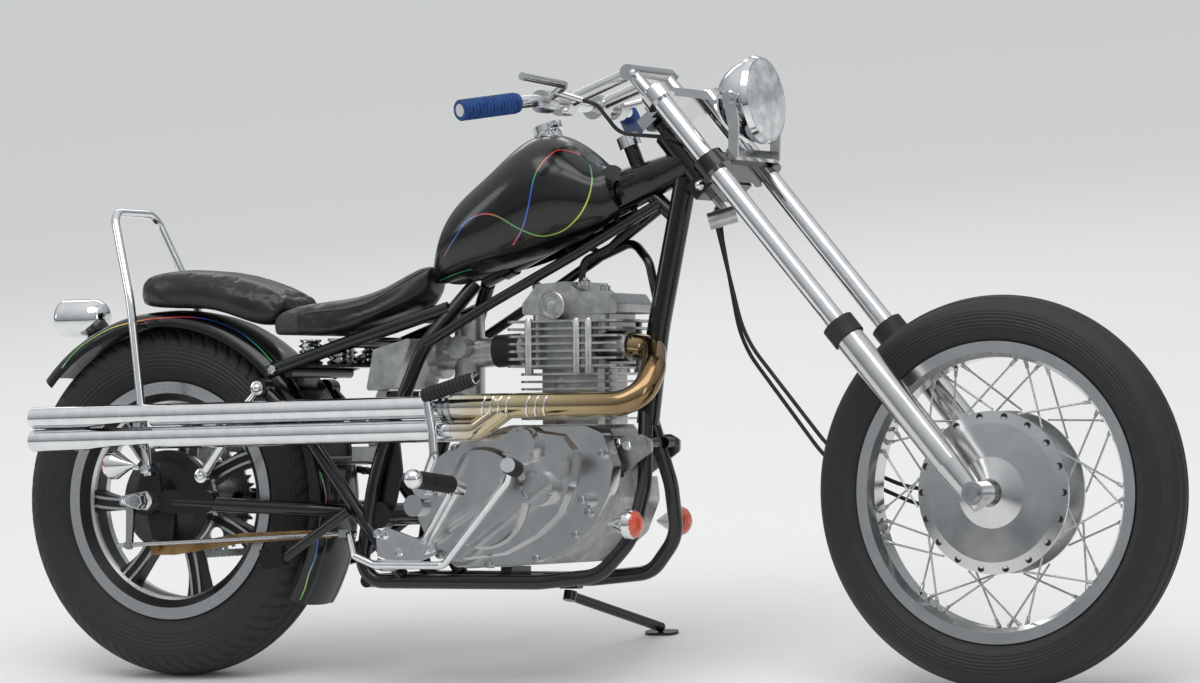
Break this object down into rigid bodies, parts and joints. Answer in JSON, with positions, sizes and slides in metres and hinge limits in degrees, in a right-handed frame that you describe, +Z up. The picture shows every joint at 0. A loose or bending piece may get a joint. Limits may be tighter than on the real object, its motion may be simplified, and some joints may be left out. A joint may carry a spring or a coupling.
{
  "type": "long-fork custom motorcycle",
  "caption": "A low long-forked custom motorcycle with an upright air-cooled single, stacked straight pipes, stepped leather seats and a tall back bar, leaning on its side stand",
  "frame": {"origin": "under the middle of the whole machine's box, on the ground", "axes": "+X is the way it rides, +Y is the rider's left, +Z is up; the machine leans about 11 degrees to +Y on its side stand"},
  "size_m": [2.2878, 0.7939, 1.0912],
  "materials": {
    "black_enamel": "gloss black enamel",
    "black_case": "satin black paint on cast alloy",
    "chrome": "bright chrome plate",
    "polished_alloy": "polished aluminium",
    "alloy": "cast aluminium",
    "steel": "zinc plated steel",
    "bronze_steel": "bronze-gold passivated steel",
    "black_rubber": "moulded rubber",
    "blue_rubber": "ribbed blue rubber",
    "tyre": "tyre rubber",
    "black_leather": "smooth black leather"
  },
  "bodies": {
    "chassis": {"frame": "black_enamel", "swingarm": "black_enamel", "rigid_struts": "chrome", "rear_axle": "chrome", "rear_brake_plate": "black_case", "torque_rod": "bronze_steel", "brake_linkage": "steel", "rear_fender": "black_enamel", "tail_lamp": "chrome", "sissy_bar": "chrome", "pillion_seat": "black_leather", "rider_seat": "black_leather", "seat_springs": "chrome", "fuel_tank": "black_enamel", "filler_caps": "chrome", "electrics_box": "alloy", "crankcase": "alloy", "engine_plates": "alloy", "right_cover": "polished_alloy", "left_cover": "polished_alloy", "cylinder": "alloy", "cylinder_head": "alloy", "head_cover": "alloy", "carburettor": "alloy", "intake_boot": "black_rubber", "exhaust_header": "chrome", "exhaust_pipes": "chrome", "drive_chain": "steel", "engine_sprocket": "steel", "footpegs": "chrome", "pillion_pegs": "black_enamel", "brake_pedal": "chrome", "kick_starter": "chrome", "gear_pedal": "chrome", "front_indicators": "chrome", "rear_indicators": "chrome", "hoses": "black_rubber"},
    "steering": {"lower_yoke": "black_enamel", "upper_yoke": "polished_alloy", "fork_tubes": "chrome", "fork_legs": "polished_alloy", "dust_seals": "black_rubber", "headlight": "chrome", "headlight_bracket": "polished_alloy", "risers": "polished_alloy", "handlebar": "chrome", "grips": "blue_rubber", "levers": "polished_alloy", "front_axle": "steel", "front_brake_plate": "polished_alloy", "front_cables": "black_rubber", "lock_switch": "alloy"},
    "front_wheel": {"front_tyre": "tyre", "front_rim": "polished_alloy", "front_spokes": "steel", "front_hub": "polished_alloy"},
    "rear_wheel": {"rear_tyre": "tyre", "rear_cast_wheel": "black_case", "rear_sprocket": "steel"},
    "side_stand": {"side_stand": "black_enamel"}
  },
  "joints": [
    {"name": "steering", "type": "hinge", "parent": "chassis", "child": "steering", "pos_m": [0.22255, 0.06263, 0.90153], "axis": [-0.6494, 0.1464, 0.7462], "range_deg": [-28, 28]},
    {"name": "front_wheel", "type": "hinge", "parent": "steering", "child": "front_wheel", "pos_m": [0.812, -0.05008, 0.32702], "axis": [0, 0.9813, -0.1925], "continuous": true},
    {"name": "rear_wheel", "type": "hinge", "parent": "chassis", "child": "rear_wheel", "pos_m": [-0.824, -0.05239, 0.31525], "axis": [0, 0.9813, -0.1925], "continuous": true},
    {"name": "side_stand", "type": "hinge", "parent": "chassis", "child": "side_stand", "pos_m": [-0.07, 0.01886, 0.13822], "axis": [0.04, 0.4502, 0.892], "range_deg": [0, 92]}
  ]
}
